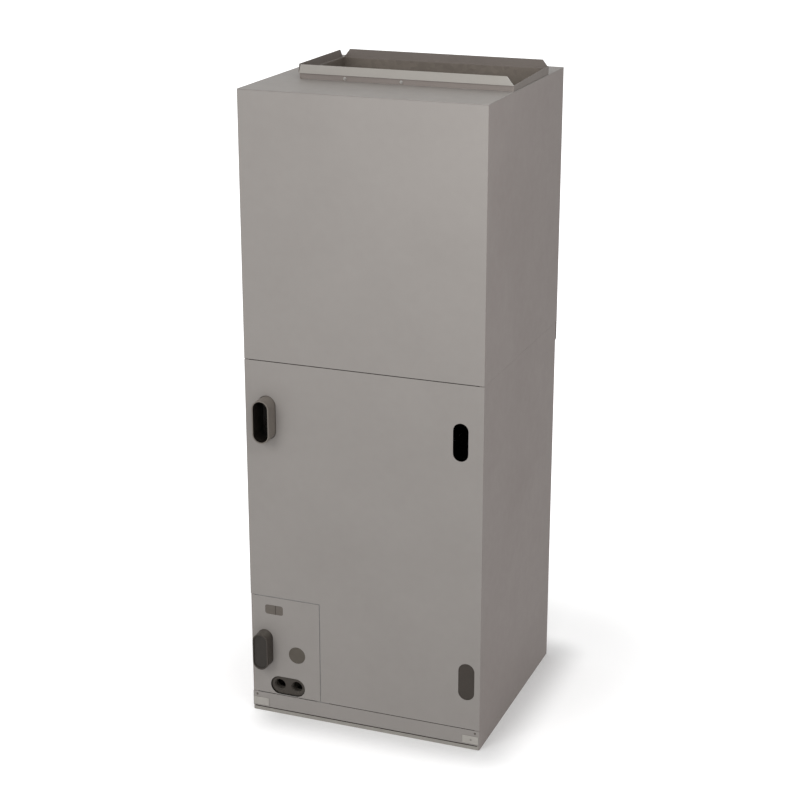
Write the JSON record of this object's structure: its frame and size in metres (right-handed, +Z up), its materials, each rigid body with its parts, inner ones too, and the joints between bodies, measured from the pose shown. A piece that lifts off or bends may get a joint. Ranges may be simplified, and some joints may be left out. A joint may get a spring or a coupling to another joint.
{
  "type": "air handler",
  "caption": "Upright ducted air handler: a coil cabinet with drain openings and a filter door below, a blower cabinet with a duct collar on top.",
  "frame": {"origin": "middle of the base on the floor, which is the middle of the return opening", "axes": "the front with the panels faces -Y, +Z is up toward the duct collar"},
  "size_m": [0.533, 0.5564, 1.42],
  "materials": {
    "cabinet_paint": "satin",
    "galvanised": "satin",
    "flange_paint": "satin",
    "aluminium_fins": "satin",
    "copper": "satin",
    "valve_brass": "satin",
    "insulation": "matte",
    "drain_plastic": "matte",
    "dark_plastic": "matte",
    "plug_rubber": "matte",
    "bright_clip": "satin",
    "screw_steel": "satin",
    "filter_card": "matte",
    "filter_cloth": "matte",
    "motor_black": "satin",
    "can_aluminium": "satin",
    "transformer_steel": "satin",
    "board_green": "satin",
    "lead_black": "satin"
  },
  "bodies": {
    "cabinet": {"base_frame": "galvanised", "lower_casing": "cabinet_paint", "upper_casing": "cabinet_paint", "top_deck": "cabinet_paint", "supply_flange_front": "flange_paint", "supply_flange_back": "flange_paint", "supply_flange_left": "flange_paint", "supply_flange_right": "flange_paint", "flange_screws": "screw_steel", "joiner_bracket": "cabinet_paint", "joiner_screws": "screw_steel", "seam_cross_rail": "galvanised", "filter_header": "galvanised", "fitting_panel_frame": "galvanised", "lower_liner": "insulation", "upper_liner": "insulation", "fitting_panel": "cabinet_paint", "suction_plug": "plug_rubber", "knockout_plates": "cabinet_paint", "lower_drain_plug": "dark_plastic", "horizontal_drain_pan": "drain_plastic", "upflow_drain_pan": "drain_plastic", "filter_rails": "galvanised", "coil_fins_left": "aluminium_fins", "coil_fins_right": "aluminium_fins", "coil_tube_plates": "galvanised", "return_bends": "copper", "coil_baffles": "galvanised", "coil_apex_cap": "galvanised", "suction_header": "copper", "liquid_line": "copper", "metering_valve": "valve_brass", "feeder_tubes": "copper", "blower_scroll": "galvanised", "blower_side_plates": "galvanised", "blower_shelf": "galvanised", "blower_rails": "galvanised", "blower_motor": "motor_black", "motor_mount": "galvanised", "capacitor": "can_aluminium", "supply_throat": "galvanised", "heater_cover_plate": "galvanised", "control_box": "galvanised", "transformer": "transformer_steel", "control_board": "board_green", "motor_lead": "lead_black"},
    "upper_panel": {"upper_access_panel": "cabinet_paint", "upper_panel_liner": "insulation"},
    "coil_panel": {"coil_access_panel": "cabinet_paint", "coil_panel_liner": "insulation", "right_slot_cap": "dark_plastic"},
    "filter_door": {"filter_door": "cabinet_paint", "filter_door_clips": "bright_clip", "filter_door_screws": "screw_steel"},
    "filter": {"filter_frame": "filter_card", "filter_media": "filter_cloth"},
    "rotor": {"blower_wheel": "galvanised", "motor_shaft": "screw_steel"}
  },
  "joints": [
    {"name": "upper_panel_off", "type": "slide", "parent": "cabinet", "child": "upper_panel", "axis": [0, -1, 0], "range_m": [0, 0.35]},
    {"name": "coil_panel_off", "type": "slide", "parent": "cabinet", "child": "coil_panel", "axis": [0, -1, 0], "range_m": [0, 0.35]},
    {"name": "filter_door_off", "type": "slide", "parent": "cabinet", "child": "filter_door", "axis": [0, -1, 0], "range_m": [0, 0.55]},
    {"name": "filter_slide", "type": "slide", "parent": "cabinet", "child": "filter", "axis": [0, -1, 0], "range_m": [0, 0.495]},
    {"name": "blower_spin", "type": "hinge", "parent": "cabinet", "child": "rotor", "pos_m": [0, -0.055, 1.05], "axis": [1, 0, 0], "continuous": true}
  ],
  "couplings": [
    {"joint": "filter_slide", "follows": "filter_door_off", "ratio": 0.9}
  ]
}
